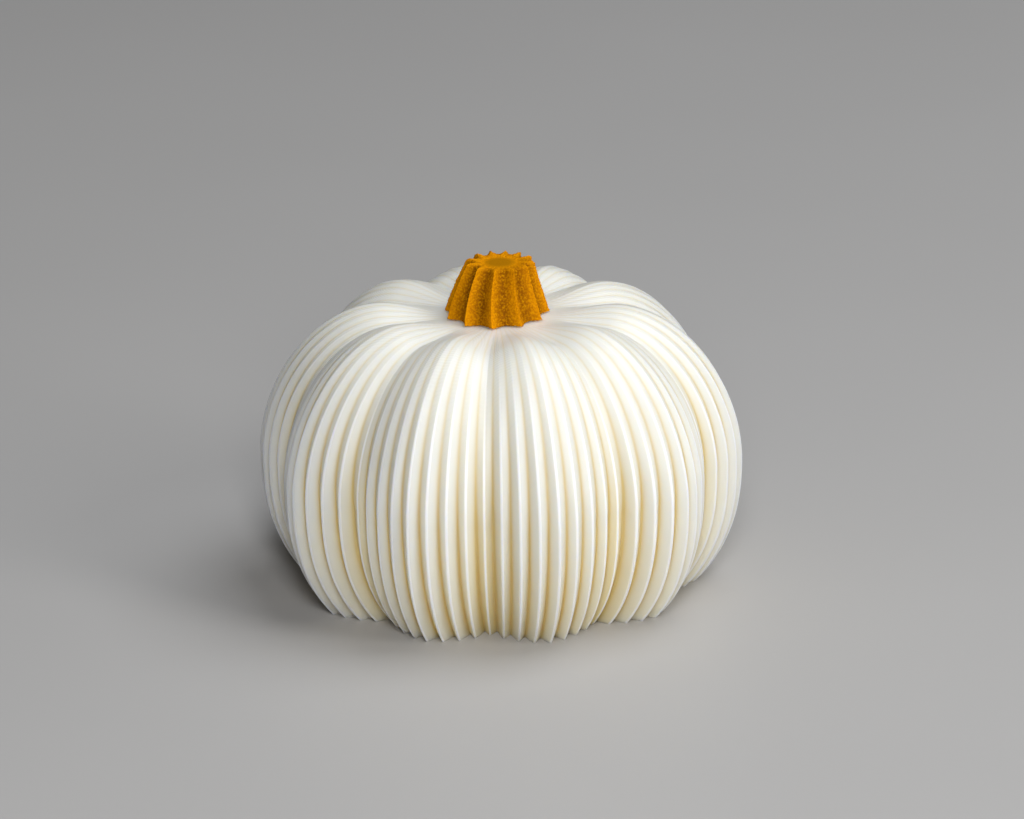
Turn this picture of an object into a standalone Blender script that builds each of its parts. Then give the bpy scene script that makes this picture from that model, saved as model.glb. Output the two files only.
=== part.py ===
# Decorative ribbed pumpkin, made as two printed pieces: a lobed and pleated body and a fluted stem.
# Metres, +Z up. The origin is the middle of the flat underside, which stands on the table.

import math

import bpy

MM = 0.001

# Lobes and pleats of the body. One rib lies on each lobe's crest and one in each furrow.
LOBES = 10
RIBS_PER_LOBE = 8
RIBS = LOBES * RIBS_PER_LOBE
STEPS_PER_RIB = 2
FIRST_CREST = math.radians(-76.43)

# Outline of a lobe's crest, from the underside to the crown.
WIDEST_RADIUS = 75.0 * MM
WIDEST_HEIGHT = 40.3 * MM
UNDER_DEPTH = 61.3 * MM
UNDER_FULLNESS = 2.36
CROWN_RADIUS = 36.0 * MM
CROWN_HEIGHT = 89.1 * MM
SHOULDER_FULLNESS = 1.86

# Flat seat of the stem in the middle of the dimple, and the plain round socket in it.
SEAT_RADIUS = 15.0 * MM
SEAT_HEIGHT = 86.1 * MM
SOCKET_RADIUS = 9.0 * MM
SOCKET_DEPTH = 8.0 * MM

# How far the surface lies below the crest outline, along its normal.
FURROW_AT_UNDERSIDE = 9.2 * MM
FURROW_AT_WIDEST = 7.6 * MM
FURROW_AT_CROWN = 3.8 * MM
FURROW_SHARPNESS = 1.4
PLEAT_AT_UNDERSIDE = 4.6 * MM
PLEAT_AT_WIDEST = 2.6 * MM
PLEAT_AT_CROWN = 0.15 * MM
PLEAT_AT_SEAT = 0.05 * MM
PLEAT_FADE = 0.6

# Stem: a tapered, slightly leaning and twisted prism with sharp ridges and round flutes. The
# flutes are a little wider on the first ridge's side than opposite it.
FLUTES = 12
STEPS_PER_FLUTE = 6
FIRST_RIDGE = math.radians(-94.5)
UNEVEN = 0.083
STEM_GAP = 0.3 * MM
STEM_BASE_RADIUS = 16.5 * MM
STEM_TOP_RADIUS = 11.2 * MM
STEM_HEIGHT = 17.1 * MM
STEM_TAPER = 1.12
FLUTE_AT_BASE = 2.8 * MM
FLUTE_AT_TOP = 2.4 * MM
STEM_SHIFT = -0.4 * MM
STEM_LEAN = 1.3 * MM
STEM_TWIST = math.radians(-5.5)

# The stem's top: a rounded edge, lower between the ridges, round a sunk flat middle.
EDGE_RADIUS = 1.6 * MM
RIM_DROP = 0.7 * MM
RIM_DROP_POWER = 8
TOP_DISH = 0.8 * MM
DISH_RADIUS = 4.7 * MM
SPIGOT_CLEARANCE = 0.3 * MM
SPIGOT_LENGTH = 7.0 * MM

# Rows of points along each stretch of the two outlines.
UNDER_ROWS = 8
SHOULDER_ROWS = 11
DIMPLE_ROWS = 5
STEM_ROWS = 6
EDGE_ROWS = 3
RIM_ROWS = 2

BODY_COLOUR = (0.84, 0.81, 0.70, 1.0)
STEM_COLOUR = (0.58, 0.27, 0.012, 1.0)


def clear_scene():
    for obj in list(bpy.data.objects):
        bpy.data.objects.remove(obj)


def material(name, colour, roughness):
    made = bpy.data.materials.new(name)
    made.use_nodes = True
    shader = made.node_tree.nodes["Principled BSDF"]
    shader.inputs["Base Color"].default_value = colour
    shader.inputs["Roughness"].default_value = roughness
    shader.inputs["Metallic"].default_value = 0.0
    return made


def blend(start, end, share):
    return start + (end - start) * share


def under_row(share):
    """Crest outline below the widest height: a superellipse that the underside cuts off flat.

    A row is its radius and height, and how deep the furrows and the pleats are there.
    """
    last = math.asin((WIDEST_HEIGHT / UNDER_DEPTH) ** (UNDER_FULLNESS / 2))
    angle = last * share
    radius = WIDEST_RADIUS * math.cos(angle) ** (2 / UNDER_FULLNESS)
    height = WIDEST_HEIGHT - UNDER_DEPTH * math.sin(angle) ** (2 / UNDER_FULLNESS)
    furrow = blend(FURROW_AT_WIDEST, FURROW_AT_UNDERSIDE, share**2)
    return radius, height, furrow, blend(PLEAT_AT_WIDEST, PLEAT_AT_UNDERSIDE, share)


def shoulder_row(share):
    """Crest outline from the widest height up to the crown, where it is level."""
    angle = math.pi / 2 * share
    power = 2 / SHOULDER_FULLNESS
    radius = CROWN_RADIUS + (WIDEST_RADIUS - CROWN_RADIUS) * math.cos(angle) ** power
    height = WIDEST_HEIGHT + (CROWN_HEIGHT - WIDEST_HEIGHT) * math.sin(angle) ** power
    furrow = blend(FURROW_AT_WIDEST, FURROW_AT_CROWN, share)
    return radius, height, furrow, blend(PLEAT_AT_WIDEST, PLEAT_AT_CROWN, share**PLEAT_FADE)


def dimple_row(share):
    """Crest outline from the crown in to the seat: level at both ends, and the furrows run out."""
    radius = blend(CROWN_RADIUS, SEAT_RADIUS, share)
    fall = (1 - math.cos(math.pi * share)) / 2
    height = blend(CROWN_HEIGHT, SEAT_HEIGHT, fall)
    furrow = FURROW_AT_CROWN * (1 - fall)
    return radius, height, furrow, blend(PLEAT_AT_CROWN, PLEAT_AT_SEAT, share)


def body_outline():
    """Rows of the relief, from the seat's edge out and down to the underside."""
    rows = [dimple_row(1 - i / DIMPLE_ROWS) for i in range(DIMPLE_ROWS)]
    rows += [shoulder_row(1 - i / SHOULDER_ROWS) for i in range(SHOULDER_ROWS)]
    rows += [under_row(i / UNDER_ROWS) for i in range(UNDER_ROWS + 1)]
    return rows


def outward_normals(rows):
    """Unit normals of the outline in its own plane, from the points before and after each."""
    normals = []
    for i in range(len(rows)):
        before = rows[max(i - 1, 0)]
        after = rows[min(i + 1, len(rows) - 1)]
        along_radius = after[0] - before[0]
        along_height = after[1] - before[1]
        length = math.hypot(along_radius, along_height)
        normals.append((-along_height / length, along_radius / length))
    return normals


def lobe_wave(angle):
    """0 on a lobe's crest and 1 in the furrow beside it."""
    turn = (angle - FIRST_CREST) * LOBES / (2 * math.pi)
    return abs(2 * (turn - round(turn))) ** FURROW_SHARPNESS


def pleat_wave(angle):
    """0 on a rib and 1 in the groove beside it."""
    return (1 - math.cos((angle - FIRST_CREST) * RIBS)) / 2


def turned(name, profile, steps, start):
    """A profile turned about Z by a Screw modifier, from its top down its outer side, as a mesh."""
    mesh = bpy.data.meshes.new(name)
    points = [(r * math.cos(start), r * math.sin(start), z) for r, z in profile]
    mesh.from_pydata(points, [(i, i + 1) for i in range(len(points) - 1)], [])
    row = mesh.attributes.new("row", "INT", "POINT")
    row.data.foreach_set("value", range(len(points)))
    obj = bpy.data.objects.new(name, mesh)
    bpy.context.scene.collection.objects.link(obj)
    screw = obj.modifiers.new("Turn", "SCREW")
    screw.axis = "Z"
    screw.steps = steps
    screw.render_steps = steps
    screw.use_merge_vertices = True
    screw.merge_threshold = 0.00001
    graph = bpy.context.evaluated_depsgraph_get()
    solid = bpy.data.meshes.new_from_object(obj.evaluated_get(graph))
    solid.name = name
    bpy.data.objects.remove(obj)
    bpy.data.meshes.remove(mesh)
    return solid


def finished(name, mesh, surface, collection):
    """The named object of a mesh, shaded smooth but for its sharp edges."""
    mesh.attributes.remove(mesh.attributes["row"])
    mesh.materials.append(surface)
    mesh.shade_smooth()
    mesh.set_sharp_from_angle(angle=math.radians(50))
    obj = bpy.data.objects.new(name, mesh)
    collection.objects.link(obj)
    return obj


def make_body(collection):
    rows = body_outline()
    normals = outward_normals(rows)
    floor = SEAT_HEIGHT - SOCKET_DEPTH
    socket = [(0, floor), (SOCKET_RADIUS, floor), (SOCKET_RADIUS, SEAT_HEIGHT)]
    profile = socket + [row[:2] for row in rows] + [(0, 0)]
    mesh = turned("pumpkin_body", profile, RIBS * STEPS_PER_RIB, FIRST_CREST)
    row_of = mesh.attributes["row"].data
    first = len(socket)
    for vertex in mesh.vertices:
        row = row_of[vertex.index].value - first
        if not 0 <= row < len(rows):
            continue
        radius, height, furrow, pleat = rows[row]
        angle = math.atan2(vertex.co.y, vertex.co.x)
        depth = furrow * lobe_wave(angle) + pleat * pleat_wave(angle)
        out, up = normals[row]
        if height < WIDEST_HEIGHT:
            out, up = 1.0, 0.0
        if row == 0:
            depth = 0.0
        radius -= depth * out
        vertex.co = (radius * math.cos(angle), radius * math.sin(angle), height - depth * up)
    return finished("pumpkin_body", mesh, material("ivory_print", BODY_COLOUR, 0.38), collection)


def make_stem(collection):
    base = SEAT_HEIGHT + STEM_GAP
    top = base + STEM_HEIGHT
    spigot_radius = SOCKET_RADIUS - SPIGOT_CLEARANCE
    rim_radius = STEM_TOP_RADIUS - EDGE_RADIUS
    dish = [(0, top - TOP_DISH)]
    for i in range(RIM_ROWS):
        share = i / RIM_ROWS
        fall = (1 + math.cos(math.pi * share)) / 2
        dish.append((blend(DISH_RADIUS, rim_radius, share), top - TOP_DISH * fall))
    side = []
    for i in range(EDGE_ROWS):
        bend = math.pi / 2 * i / EDGE_ROWS
        fall = EDGE_RADIUS * (1 - math.cos(bend))
        side.append((rim_radius + EDGE_RADIUS * math.sin(bend), top - fall))
    for i in range(STEM_ROWS + 1):
        rise = 1 - i / STEM_ROWS
        radius = blend(STEM_BASE_RADIUS, STEM_TOP_RADIUS, rise**STEM_TAPER)
        side.append((radius, blend(base, top - EDGE_RADIUS, rise)))
    spigot = [(spigot_radius, base), (spigot_radius, base - SPIGOT_LENGTH), (0, base - SPIGOT_LENGTH)]
    steps = FLUTES * STEPS_PER_FLUTE
    mesh = turned("stem", dish + side + spigot, steps, FIRST_RIDGE)
    row_of = mesh.attributes["row"].data
    first = len(dish)
    for vertex in mesh.vertices:
        row = row_of[vertex.index].value - first
        if row >= len(side):
            continue
        rise = max(0.0, (vertex.co.z - base) / STEM_HEIGHT)
        radius = math.hypot(vertex.co.x, vertex.co.y)
        angle = math.atan2(vertex.co.y, vertex.co.x)
        inset = min(1.0, max(0.0, (radius - DISH_RADIUS) / (STEM_TOP_RADIUS - DISH_RADIUS)))
        hollow = inset * abs(math.sin((angle - FIRST_RIDGE) * FLUTES / 2))
        radius -= hollow * blend(FLUTE_AT_BASE, FLUTE_AT_TOP, rise)
        angle += UNEVEN * math.sin(angle - FIRST_RIDGE) + STEM_TWIST * rise**0.5
        vertex.co.z -= RIM_DROP * hollow * rise**RIM_DROP_POWER
        vertex.co.x = radius * math.cos(angle) + STEM_SHIFT + STEM_LEAN * rise**2
        vertex.co.y = radius * math.sin(angle)
    return finished("stem", mesh, material("ochre_print", STEM_COLOUR, 0.75), collection)


clear_scene()
parts = bpy.data.collections.new("ribbed_pumpkin")
bpy.context.scene.collection.children.link(parts)
make_body(parts)
make_stem(parts)
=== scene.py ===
"""The decorative ribbed pumpkin: an ivory printed body and an ochre printed stem."""

import math

import bmesh
import bpy
from mathutils import Matrix, Vector, noise


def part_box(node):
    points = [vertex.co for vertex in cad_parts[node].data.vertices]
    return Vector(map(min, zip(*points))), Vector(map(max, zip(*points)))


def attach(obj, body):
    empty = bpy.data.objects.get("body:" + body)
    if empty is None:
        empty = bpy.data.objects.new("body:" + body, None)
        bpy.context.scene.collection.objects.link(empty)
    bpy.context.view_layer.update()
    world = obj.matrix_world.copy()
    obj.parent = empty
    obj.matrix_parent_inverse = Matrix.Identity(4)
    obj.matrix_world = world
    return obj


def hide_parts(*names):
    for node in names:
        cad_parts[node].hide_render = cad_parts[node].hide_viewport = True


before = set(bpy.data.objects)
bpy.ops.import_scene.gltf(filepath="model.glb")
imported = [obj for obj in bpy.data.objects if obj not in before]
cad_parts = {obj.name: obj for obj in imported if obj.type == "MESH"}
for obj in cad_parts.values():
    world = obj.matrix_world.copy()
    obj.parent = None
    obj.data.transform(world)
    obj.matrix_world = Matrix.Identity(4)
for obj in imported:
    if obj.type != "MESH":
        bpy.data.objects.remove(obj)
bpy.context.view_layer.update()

# The body. One print in ivory plastic with a silky sheen: ten lobes, and eight fine pleats to a
# lobe that run from the stem down to the table. It is laid down in thin level layers. The plastic
# lets light through. Its colour carries painted warm shade, straw in the grooves, the furrows and
# towards the bottom, and a painted white highlight along the crests of the ribs.
LOBES = 10
RIBS = 8 * LOBES
POINTS_PER_RIB = 16
FIRST_CREST = math.radians(-76.43)
WIDEST_RADIUS = 0.0750
WIDEST_HEIGHT = 0.0403
UNDER_DEPTH = 0.0613
UNDER_FULLNESS = 2.36
CROWN_RADIUS = 0.0360
SHOULDER_FULLNESS = 1.86
SEAT_RADIUS = 0.0150
SEAT_DROP = 0.0030
SOCKET_RADIUS = 0.0090
SOCKET_DEPTH = 0.0080
FURROW_AT_UNDERSIDE = 0.0092
FURROW_AT_WIDEST = 0.0076
FURROW_AT_CROWN = 0.0038
FURROW_SHARPNESS = 1.4
PLEAT_AT_UNDERSIDE = 0.0046
PLEAT_AT_WIDEST = 0.0026
PLEAT_AT_CROWN = 0.00008
PLEAT_AT_SEAT = 0.00003
PLEAT_FADE = 2.0
PLEAT_SHARPNESS = 0.96
UNDER_ROWS = 24
SHOULDER_ROWS = 34
DIMPLE_ROWS = 11
SHARP_FROM = 60
CREST_EDGE = 0.14
CREST_DEPTH = 0.5
LAYER_HEIGHT = 0.0003
BANDS_PERIOD = 0.314
LAYER_SHARE = 0.9
SKIN_BUMP = 0.00003
FUZZ_SIZE = 0.0006
DRIFT_SIZE = 0.018
DRIFT = 0.4
# Painted warm shade: straw in the groove bottoms, across the grooves, in the furrows and towards the
# bottom.
LINE_SHARPNESS = 6
LINE_SHADE = 0.3
LINE_SHADE_WITH_DEPTH = 0.5
GROOVE_SHARPNESS = 2
GROOVE_SHADE = 0.3
FURROW_SHADE_SHARPNESS = 3
FURROW_SHADE = 0.55
LOW_SHADE = 0.3
ROUGHNESS = 0.34
ROUGHNESS_BY_FUZZ = 0.08
ROUGHNESS_BY_DRIFT = 0.04
CREST_POLISH = 0.4
GLOSS = 0.5
TRANSLUCENCY = 0.85
LIGHT_REACH = 0.007
LIGHT_REACH_BY_COLOUR = (1.0, 0.88, 0.65)
IVORY = (0.77, 0.765, 0.71)
# The colour of the painted warm shade.
STRAW_SHADE = (0.72, 0.57, 0.24)
# The colour of the painted highlight on the crests of the ribs.
HIGHLIGHT_WHITE = (1.0, 1.0, 1.0)

# The CAD gives the heights, so that both fit each other.
crown_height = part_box("pumpkin_body")[1].z
seat_height = crown_height - SEAT_DROP


def between(start, end, share):
    return start + (end - start) * share


def under_row(share):
    """Radius, height, furrow depth and pleat depth of the outline below the widest height."""
    last = math.asin((WIDEST_HEIGHT / UNDER_DEPTH) ** (UNDER_FULLNESS / 2))
    radius = WIDEST_RADIUS * math.cos(last * share) ** (2 / UNDER_FULLNESS)
    height = WIDEST_HEIGHT - UNDER_DEPTH * math.sin(last * share) ** (2 / UNDER_FULLNESS)
    furrow = between(FURROW_AT_WIDEST, FURROW_AT_UNDERSIDE, share**2)
    return radius, height, furrow, between(PLEAT_AT_WIDEST, PLEAT_AT_UNDERSIDE, share)


def shoulder_row(share):
    """The same from the widest height up to the crown, where the outline is level."""
    angle = math.pi / 2 * share
    power = 2 / SHOULDER_FULLNESS
    radius = between(CROWN_RADIUS, WIDEST_RADIUS, math.cos(angle) ** power)
    height = between(WIDEST_HEIGHT, crown_height, math.sin(angle) ** power)
    furrow = between(FURROW_AT_WIDEST, FURROW_AT_CROWN, share)
    return radius, height, furrow, between(PLEAT_AT_CROWN, PLEAT_AT_WIDEST, (1 - share) ** PLEAT_FADE)


def dimple_row(share):
    """The same from the crown in to the stem's seat, where the furrows run out."""
    fall = (1 - math.cos(math.pi * share)) / 2
    radius = between(CROWN_RADIUS, SEAT_RADIUS, share)
    height = between(crown_height, seat_height, fall)
    return radius, height, FURROW_AT_CROWN * (1 - fall), between(PLEAT_AT_CROWN, PLEAT_AT_SEAT, share)


def lobe_wave(angle):
    """0 on a lobe's crest and 1 in the furrow beside it."""
    turn = (angle - FIRST_CREST) * LOBES / (2 * math.pi)
    return abs(2 * (turn - round(turn))) ** FURROW_SHARPNESS


def pleat_wave(angle):
    """0 on a rib and 1 in the groove beside it, with nearly straight flanks between them."""
    crest = math.acos(PLEAT_SHARPNESS)
    here = math.acos(PLEAT_SHARPNESS * math.cos((angle - FIRST_CREST) * RIBS))
    return (here - crest) / (math.pi - 2 * crest)


def spun(profile, start, sectors, steps):
    """A bmesh of (radius, height) points turned about Z: one sector in steps, then its copies."""
    made = bmesh.new()
    row_of = made.verts.layers.int.new("row")
    line = []
    for row, (radius, height) in enumerate(profile):
        vertex = made.verts.new((radius * math.cos(start), radius * math.sin(start), height))
        vertex[row_of] = row
        line.append(vertex)
    edges = [made.edges.new(pair) for pair in zip(line, line[1:])]
    bmesh.ops.spin(
        made,
        geom=line + edges,
        cent=(0, 0, 0),
        axis=(0, 0, 1),
        angle=math.tau / sectors,
        steps=steps,
    )
    bmesh.ops.spin(
        made,
        geom=made.verts[:] + made.edges[:] + made.faces[:],
        cent=(0, 0, 0),
        axis=(0, 0, 1),
        angle=math.tau * (1 - 1 / sectors),
        steps=sectors - 1,
        use_duplicate=True,
    )
    bmesh.ops.remove_doubles(made, verts=made.verts, dist=1e-6)
    bmesh.ops.recalc_face_normals(made, faces=made.faces)
    return made


def piece(made, name, sharp_from):
    """The bmesh as a smooth object of the scene."""
    mesh = bpy.data.meshes.new(name)
    made.to_mesh(mesh)
    made.free()
    mesh.attributes.remove(mesh.attributes["row"])
    mesh.shade_smooth()
    mesh.set_sharp_from_angle(angle=math.radians(sharp_from))
    obj = bpy.data.objects.new(name, mesh)
    bpy.context.scene.collection.objects.link(obj)
    return obj


outline = [dimple_row(1 - i / DIMPLE_ROWS) for i in range(DIMPLE_ROWS)]
outline += [shoulder_row(1 - i / SHOULDER_ROWS) for i in range(SHOULDER_ROWS)]
outline += [under_row(i / UNDER_ROWS) for i in range(UNDER_ROWS + 1)]
socket_floor = seat_height - SOCKET_DEPTH
socket = [(0, socket_floor), (SOCKET_RADIUS, socket_floor), (SOCKET_RADIUS, seat_height)]
underside = [(0, 0)]
body_profile = socket + [row[:2] for row in outline] + underside
body_mesh = spun(body_profile, FIRST_CREST, LOBES, RIBS // LOBES * POINTS_PER_RIB)

row_of = body_mesh.verts.layers.int["row"]
groove_of = body_mesh.verts.layers.float.new("groove")
depth_of = body_mesh.verts.layers.float.new("depth")
furrow_of = body_mesh.verts.layers.float.new("furrow")
# The furrows and pleats are cut square to the outline, and level below the widest height. The row
# round the socket stays round.
for vertex in body_mesh.verts:
    row = vertex[row_of] - len(socket)
    if not 0 <= row < len(outline):
        continue
    radius, height, furrow, pleat = outline[row]
    before = outline[max(row - 1, 0)]
    after = outline[min(row + 1, len(outline) - 1)]
    normal = Vector((before[1] - after[1], after[0] - before[0])).normalized()
    if height < WIDEST_HEIGHT:
        normal = Vector((1, 0))
    angle = math.atan2(vertex.co.y, vertex.co.x)
    groove = pleat_wave(angle)
    cut = 0.0 if row == 0 else groove * pleat + furrow * lobe_wave(angle)
    radius -= cut * normal.x
    vertex.co = (radius * math.cos(angle), radius * math.sin(angle), height - cut * normal.y)
    vertex[groove_of] = groove
    vertex[depth_of] = min(1.0, pleat / PLEAT_AT_WIDEST)
    vertex[furrow_of] = lobe_wave(angle)
body = piece(body_mesh, "ivory_body", SHARP_FROM)


class Value:
    """A number in a shader: an expression on values adds its Math nodes."""

    def __init__(self, finish, socket):
        self.finish = finish
        self.socket = socket

    def math(self, operation, *others):
        values = [getattr(other, "socket", other) for other in others]
        return self.finish.node("ShaderNodeMath", {"operation": operation}, dict(enumerate(values)))

    def __add__(self, other):
        return self.math("ADD", self, other)

    def __radd__(self, other):
        return self.math("ADD", other, self)

    def __sub__(self, other):
        return self.math("SUBTRACT", self, other)

    def __rsub__(self, other):
        return self.math("SUBTRACT", other, self)

    def __mul__(self, other):
        return self.math("MULTIPLY", self, other)

    def __rmul__(self, other):
        return self.math("MULTIPLY", other, self)

    def __pow__(self, other):
        return self.math("POWER", self, other)

    def clamped(self, low, high):
        """0 below low, 1 above high, and a straight slope between them."""
        sockets = {"Value": self.socket, "From Min": low, "From Max": high}
        return self.finish.node("ShaderNodeMapRange", {"clamp": True}, sockets)


class Finish:
    """A material under construction, with one method that adds any node to it."""

    def __init__(self, name):
        self.material = bpy.data.materials.new(name)
        self.material.use_nodes = True
        self.tree = self.material.node_tree
        self.shader = self.tree.nodes["Principled BSDF"]

    def node(self, kind, settings=None, sockets=None, output=0):
        """A node of a type, its settings made first and then its sockets, as a value."""
        made = self.tree.nodes.new(kind)
        for name, value in (settings or {}).items():
            setattr(made, name, value)
        for name, value in (sockets or {}).items():
            self.feed(made.inputs[name], value)
        return Value(self, made.outputs[output])

    def feed(self, socket, value):
        """A link or a plain number, colour or vector into a socket."""
        value = getattr(value, "socket", value)
        if isinstance(value, bpy.types.NodeSocket):
            self.tree.links.new(value, socket)
        elif isinstance(value, tuple) and len(value) == 3 and socket.type == "RGBA":
            socket.default_value = (*value, 1.0)
        else:
            socket.default_value = value

    def place(self):
        """The point of the object itself."""
        return self.node("ShaderNodeTexCoord", output="Object")

    def attribute(self, name):
        """A number that the mesh carries at its points."""
        return self.node("ShaderNodeAttribute", {"attribute_name": name}, output="Fac")

    def cloud(self, size, detail=2.0):
        """Soft noise from 0 to 1 whose lumps are about this size in metres."""
        sockets = {"Vector": self.place(), "Scale": 1 / size, "Detail": detail}
        return self.node("ShaderNodeTexNoise", {}, sockets)

    def mix(self, share, first, second):
        """Two colours blended by a share from 0 to 1."""
        made = self.tree.nodes.new("ShaderNodeMix")
        made.data_type = "RGBA"
        for index, value in ((0, share), (6, first), (7, second)):
            self.feed(made.inputs[index], value)
        return Value(self, made.outputs[2])

    def bump(self, height, distance, strength=1.0):
        """A normal roughened by a height from 0 to 1 that stands for this distance in metres."""
        sockets = {"Height": height, "Distance": distance, "Strength": strength}
        return self.node("ShaderNodeBump", {}, sockets)


ivory = Finish("silky_ivory")
groove = ivory.attribute("groove")
depth = ivory.attribute("depth")
furrow = ivory.attribute("furrow")
drift = ivory.cloud(DRIFT_SIZE)
fuzz = ivory.cloud(FUZZ_SIZE, 3.0)
height = ivory.node("ShaderNodeSeparateXYZ", {}, {"Vector": ivory.place()}, "Z")
# Painted warm shade in straw: thin lines in the groove bottoms, the grooves, the furrows and the
# lower part of the body, its amount varied at random by the drift.
low = height.clamped(WIDEST_HEIGHT, 0.0)
line = groove**LINE_SHARPNESS * (LINE_SHADE + LINE_SHADE_WITH_DEPTH * depth)
line = line + groove**GROOVE_SHARPNESS * depth * GROOVE_SHADE
painted_shade = line + furrow**FURROW_SHADE_SHARPNESS * depth * FURROW_SHADE + low * LOW_SHADE
painted_shade = painted_shade * (1 + (drift - 0.5) * DRIFT)
layers = ivory.node(
    "ShaderNodeTexWave",
    {"wave_type": "BANDS", "bands_direction": "Z"},
    {"Vector": ivory.place(), "Scale": BANDS_PERIOD / LAYER_HEIGHT, "Distortion": 0.0},
)
skin = layers * LAYER_SHARE + fuzz * (1 - LAYER_SHARE)
sheen = ROUGHNESS + ROUGHNESS_BY_FUZZ * fuzz + ROUGHNESS_BY_DRIFT * drift
# A painted highlight: the base colour turns white along the crests of the ribs. The crests are also
# made smoother there.
crest = groove.clamped(CREST_EDGE, 0.0) * depth.clamped(0.0, CREST_DEPTH)
sheen = sheen * (1 - CREST_POLISH * crest)
# Base colour: ivory mixed toward straw by the painted shade, then toward white by the painted
# highlight on the crests.
with_painted_shade = ivory.mix(painted_shade, IVORY, STRAW_SHADE)
ivory.feed(ivory.shader.inputs["Base Color"], ivory.mix(crest, with_painted_shade, HIGHLIGHT_WHITE))
ivory.feed(ivory.shader.inputs["Roughness"], sheen)
ivory.feed(ivory.shader.inputs["Normal"], ivory.bump(skin, SKIN_BUMP))
ivory.shader.inputs["Subsurface Weight"].default_value = TRANSLUCENCY
ivory.shader.inputs["Subsurface Radius"].default_value = LIGHT_REACH_BY_COLOUR
ivory.shader.inputs["Subsurface Scale"].default_value = LIGHT_REACH
ivory.shader.inputs["Specular IOR Level"].default_value = GLOSS
body.data.materials.append(ivory.material)
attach(body, "root")
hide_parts("pumpkin_body")

# The stem. A separate print in ochre plastic, tapered, fluted, slightly twisted and leaning, with
# a rounded top edge. Its skin is printed rough, with fine grains that catch the light. Glints and
# shade on the grains, and shade in the hollows of the flutes, are painted into its colour. Only
# the sunk middle of the top is smooth. A plain spigot under it drops into the body's socket.
FLUTES = 12
POINTS_PER_FLUTE = 32
FIRST_RIDGE = math.radians(-94.5)
UNEVEN = 0.083
STEM_GAP = 0.0003
STEM_BASE_RADIUS = 0.0165
STEM_TOP_RADIUS = 0.0112
STEM_TAPER = 1.12
FLUTE_AT_BASE = 0.0028
FLUTE_AT_TOP = 0.0024
RIM_DROP = 0.0007
RIM_DROP_POWER = 8
STEM_SHIFT = -0.0004
STEM_LEAN = 0.0013
STEM_TWIST = math.radians(-5.5)
TOP_DISH = 0.0008
DISH_RADIUS = 0.0047
EDGE_RADIUS = 0.0016
SPIGOT_RADIUS = 0.0087
SPIGOT_LENGTH = 0.0070
STEM_ROWS = 56
EDGE_ROWS = 8
RIM_ROWS = 16
DISH_ROWS = 12
STEM_SHARP_FROM = 180
DISC_EDGE = 2 / 3
DISC_FALL = 1.8
DISC_SMOOTHNESS = 0.8
GRAIN = 0.0006
GRAIN_HEIGHT = 0.0004
FINE_GRAIN = GRAIN / 2.1
FINE_GRAIN_SHARE = 0.5
PORES = 0.0003
PORES_BUMP = 0.0001
PATCH_SIZE = 0.006
SHADE_SHARPNESS = 1.3
SHADE = 0.55
SHADE_BY_PATCH = 0.4
BRIGHT_FROM_TO = (0.45, 0.75)
BRIGHT_GRAINS = 0.4
DARK_FROM_TO = (0.5, 0.25)
DARK_GRAINS = 0.25
DISC_TINT = 0.9
STEM_GLOSS = 0.04
STEM_ROUGHNESS = 0.62
ROUGHNESS_BY_GRAIN = 0.25
OCHRE = (0.66, 0.24, 0.0)
# The colour of the painted shade in the flutes' hollows and on the dark grains.
OCHRE_SHADE = (0.10, 0.022, 0.0)
# The colour of the painted glints on the grains.
OCHRE_GLINT = (0.88, 0.40, 0.0)
OCHRE_TOP = (0.38, 0.155, 0.0)

stem_base = seat_height + STEM_GAP
stem_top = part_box("stem")[1].z
stem_height = stem_top - stem_base
rim_radius = STEM_TOP_RADIUS - EDGE_RADIUS
dish = [(DISH_RADIUS * i / DISH_ROWS, stem_top - TOP_DISH) for i in range(DISH_ROWS)]
for i in range(RIM_ROWS):
    share = i / RIM_ROWS
    fall = (1 + math.cos(math.pi * share)) / 2
    dish.append((between(DISH_RADIUS, rim_radius, share), stem_top - TOP_DISH * fall))
side = []
for i in range(EDGE_ROWS):
    angle = math.pi / 2 * i / EDGE_ROWS
    across = rim_radius + EDGE_RADIUS * math.sin(angle)
    side.append((across, stem_top - EDGE_RADIUS * (1 - math.cos(angle))))
for i in range(STEM_ROWS + 1):
    rise = 1 - i / STEM_ROWS
    radius = between(STEM_BASE_RADIUS, STEM_TOP_RADIUS, rise**STEM_TAPER)
    side.append((radius, between(stem_base, stem_top - EDGE_RADIUS, rise)))
spigot = [
    (SPIGOT_RADIUS, stem_base),
    (SPIGOT_RADIUS, stem_base - SPIGOT_LENGTH),
    (0, stem_base - SPIGOT_LENGTH),
]
stem_mesh = spun(dish + side + spigot, FIRST_RIDGE, FLUTES, POINTS_PER_FLUTE)

row_of = stem_mesh.verts.layers.int["row"]
hollow_of = stem_mesh.verts.layers.float.new("hollow")
smooth_of = stem_mesh.verts.layers.float.new("smooth")
for vertex in stem_mesh.verts:
    row = vertex[row_of] - len(dish)
    if row >= len(side):
        continue
    rise = max(0.0, (vertex.co.z - stem_base) / stem_height)
    radius = math.hypot(vertex.co.x, vertex.co.y)
    angle = math.atan2(vertex.co.y, vertex.co.x)
    inset = min(1.0, max(0.0, (radius - DISH_RADIUS) / (STEM_TOP_RADIUS - DISH_RADIUS)))
    hollow = inset * abs(math.sin((angle - FIRST_RIDGE) * FLUTES / 2))
    if row < 0:
        vertex[smooth_of] = min(1.0, 1 - (radius / DISH_RADIUS - DISC_EDGE) * DISC_FALL)
    radius -= hollow * between(FLUTE_AT_BASE, FLUTE_AT_TOP, rise)
    angle += UNEVEN * math.sin(angle - FIRST_RIDGE) + STEM_TWIST * rise**0.5
    vertex.co.z -= RIM_DROP * hollow * rise**RIM_DROP_POWER
    vertex.co.x = radius * math.cos(angle) + STEM_SHIFT + STEM_LEAN * rise**2
    vertex.co.y = radius * math.sin(angle)
    vertex[hollow_of] = hollow
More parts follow.
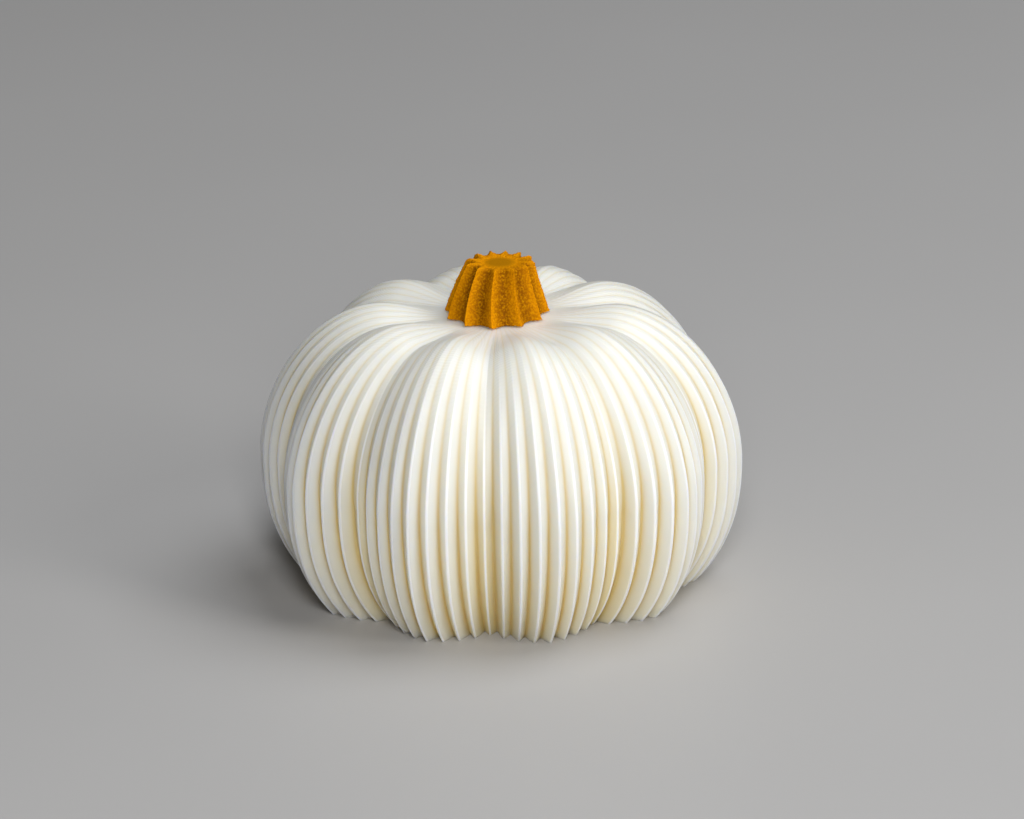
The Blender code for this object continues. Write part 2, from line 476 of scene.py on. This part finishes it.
stem_mesh.normal_update()
for vertex in stem_mesh.verts:
    if vertex[row_of] >= len(dish) + len(side):
        continue
    grain = noise.noise(vertex.co / GRAIN) + FINE_GRAIN_SHARE * noise.noise(vertex.co / FINE_GRAIN)
    rough = GRAIN_HEIGHT * (1 - DISC_SMOOTHNESS * max(0.0, vertex[smooth_of]))
    vertex.co -= vertex.normal * rough * (0.5 - 0.5 * grain)
stem = piece(stem_mesh, "ochre_stem", STEM_SHARP_FROM)

ochre = Finish("grainy_ochre")
hollow = ochre.attribute("hollow")
smooth = ochre.attribute("smooth").clamped(0.0, 1.0)
grains = ochre.cloud(GRAIN, 1.5)
patches = ochre.cloud(PATCH_SIZE)
# Painted shade in the hollows of the flutes, patchy.
shade = hollow**SHADE_SHARPNESS * (SHADE + SHADE_BY_PATCH * patches)
shaded = ochre.mix(shade, OCHRE, OCHRE_SHADE)
# Painted glints on the bright grains, then painted shade on the dark grains.
lit = ochre.mix(grains.clamped(*BRIGHT_FROM_TO) * BRIGHT_GRAINS, shaded, OCHRE_GLINT)
grainy = ochre.mix(grains.clamped(*DARK_FROM_TO) * DARK_GRAINS, lit, OCHRE_SHADE)
ochre.feed(ochre.shader.inputs["Base Color"], ochre.mix(smooth * DISC_TINT, grainy, OCHRE_TOP))
ochre.feed(ochre.shader.inputs["Roughness"], STEM_ROUGHNESS + ROUGHNESS_BY_GRAIN * grains)
ochre.shader.inputs["Specular IOR Level"].default_value = STEM_GLOSS
ochre.feed(ochre.shader.inputs["Normal"], ochre.bump(ochre.cloud(PORES, 3.0), PORES_BUMP))
stem.data.materials.append(ochre.material)
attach(stem, "root")
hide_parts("stem")

# The table top, as a plain pale floor. It isn't part of the object.
FLOOR_SIZE = 6.0
FLOOR_PATCHES = 0.2
FLOOR_COLOUR = (0.42, 0.41, 0.40)
FLOOR_LIGHTER = (0.45, 0.44, 0.43)
FLOOR_ROUGHNESS = 0.6

floor_mesh = bmesh.new()
bmesh.ops.create_grid(floor_mesh, x_segments=1, y_segments=1, size=FLOOR_SIZE / 2)
mesh = bpy.data.meshes.new("floor")
floor_mesh.to_mesh(mesh)
floor_mesh.free()
floor = bpy.data.objects.new("floor", mesh)
bpy.context.scene.collection.objects.link(floor)
pale = Finish("pale_floor")
clouded = pale.mix(pale.cloud(FLOOR_PATCHES), FLOOR_COLOUR, FLOOR_LIGHTER)
pale.feed(pale.shader.inputs["Base Color"], clouded)
pale.shader.inputs["Roughness"].default_value = FLOOR_ROUGHNESS
floor.data.materials.append(pale.material)

# Studio light: a tall window in front, a weaker one at the right that leaves the left side of
# each rib in soft shade, a wide panel overhead and a faint warm surround.
LIGHTS_TARGET = (0, 0, 0.05)
SURROUND_COLOUR = (1.0, 0.93, 0.82, 1.0)
SURROUND_STRENGTH = 0.03


def panel(name, place, width, height, power, colour):
    """A rectangle of light at a place, facing the object."""
    light = bpy.data.lights.new(name, "AREA")
    light.shape = "RECTANGLE"
    light.size = width
    light.size_y = height
    light.energy = power
    light.color = colour
    obj = bpy.data.objects.new(name, light)
    obj.location = place
    aim = Vector(LIGHTS_TARGET) - Vector(place)
    obj.rotation_euler = aim.to_track_quat("-Z", "Y").to_euler()
    bpy.context.scene.collection.objects.link(obj)


panel("side_window", (1.45, -1.0, 0.85), 0.5, 1.3, 13.0, (1.0, 0.99, 0.97))
panel("front_window", (0.05, -1.75, 1.1), 0.4, 1.1, 27.0, (0.97, 0.98, 1.0))
panel("ceiling", (0.8, 0.2, 1.9), 1.4, 1.4, 26.0, (0.93, 0.96, 1.0))
world = bpy.data.worlds.new("surround")
world.use_nodes = True
world.node_tree.nodes["Background"].inputs["Color"].default_value = SURROUND_COLOUR
world.node_tree.nodes["Background"].inputs["Strength"].default_value = SURROUND_STRENGTH
bpy.context.scene.world = world

# The camera stands about two metres away with a long lens, looking slightly down.
FRAME_WIDTH = 1024
FOCAL_PIXELS = 7448.6
SENSOR_WIDTH = 36.0
CAMERA_PLACE = (0.003734, -2.1742, 0.8285)
CAMERA_PITCH = 0.342
CAMERA_ROLL = -0.017

camera_data = bpy.data.cameras.new("camera")
camera_data.sensor_width = SENSOR_WIDTH
camera_data.lens = FOCAL_PIXELS / FRAME_WIDTH * SENSOR_WIDTH
camera = bpy.data.objects.new("camera", camera_data)
tilt = Matrix.Rotation(math.pi / 2 - CAMERA_PITCH, 4, "X")
camera.matrix_world = Matrix.Translation(CAMERA_PLACE) @ tilt @ Matrix.Rotation(CAMERA_ROLL, 4, "Z")
bpy.context.scene.collection.objects.link(camera)
bpy.context.scene.camera = camera
bpy.context.scene.view_settings.view_transform = "Standard"
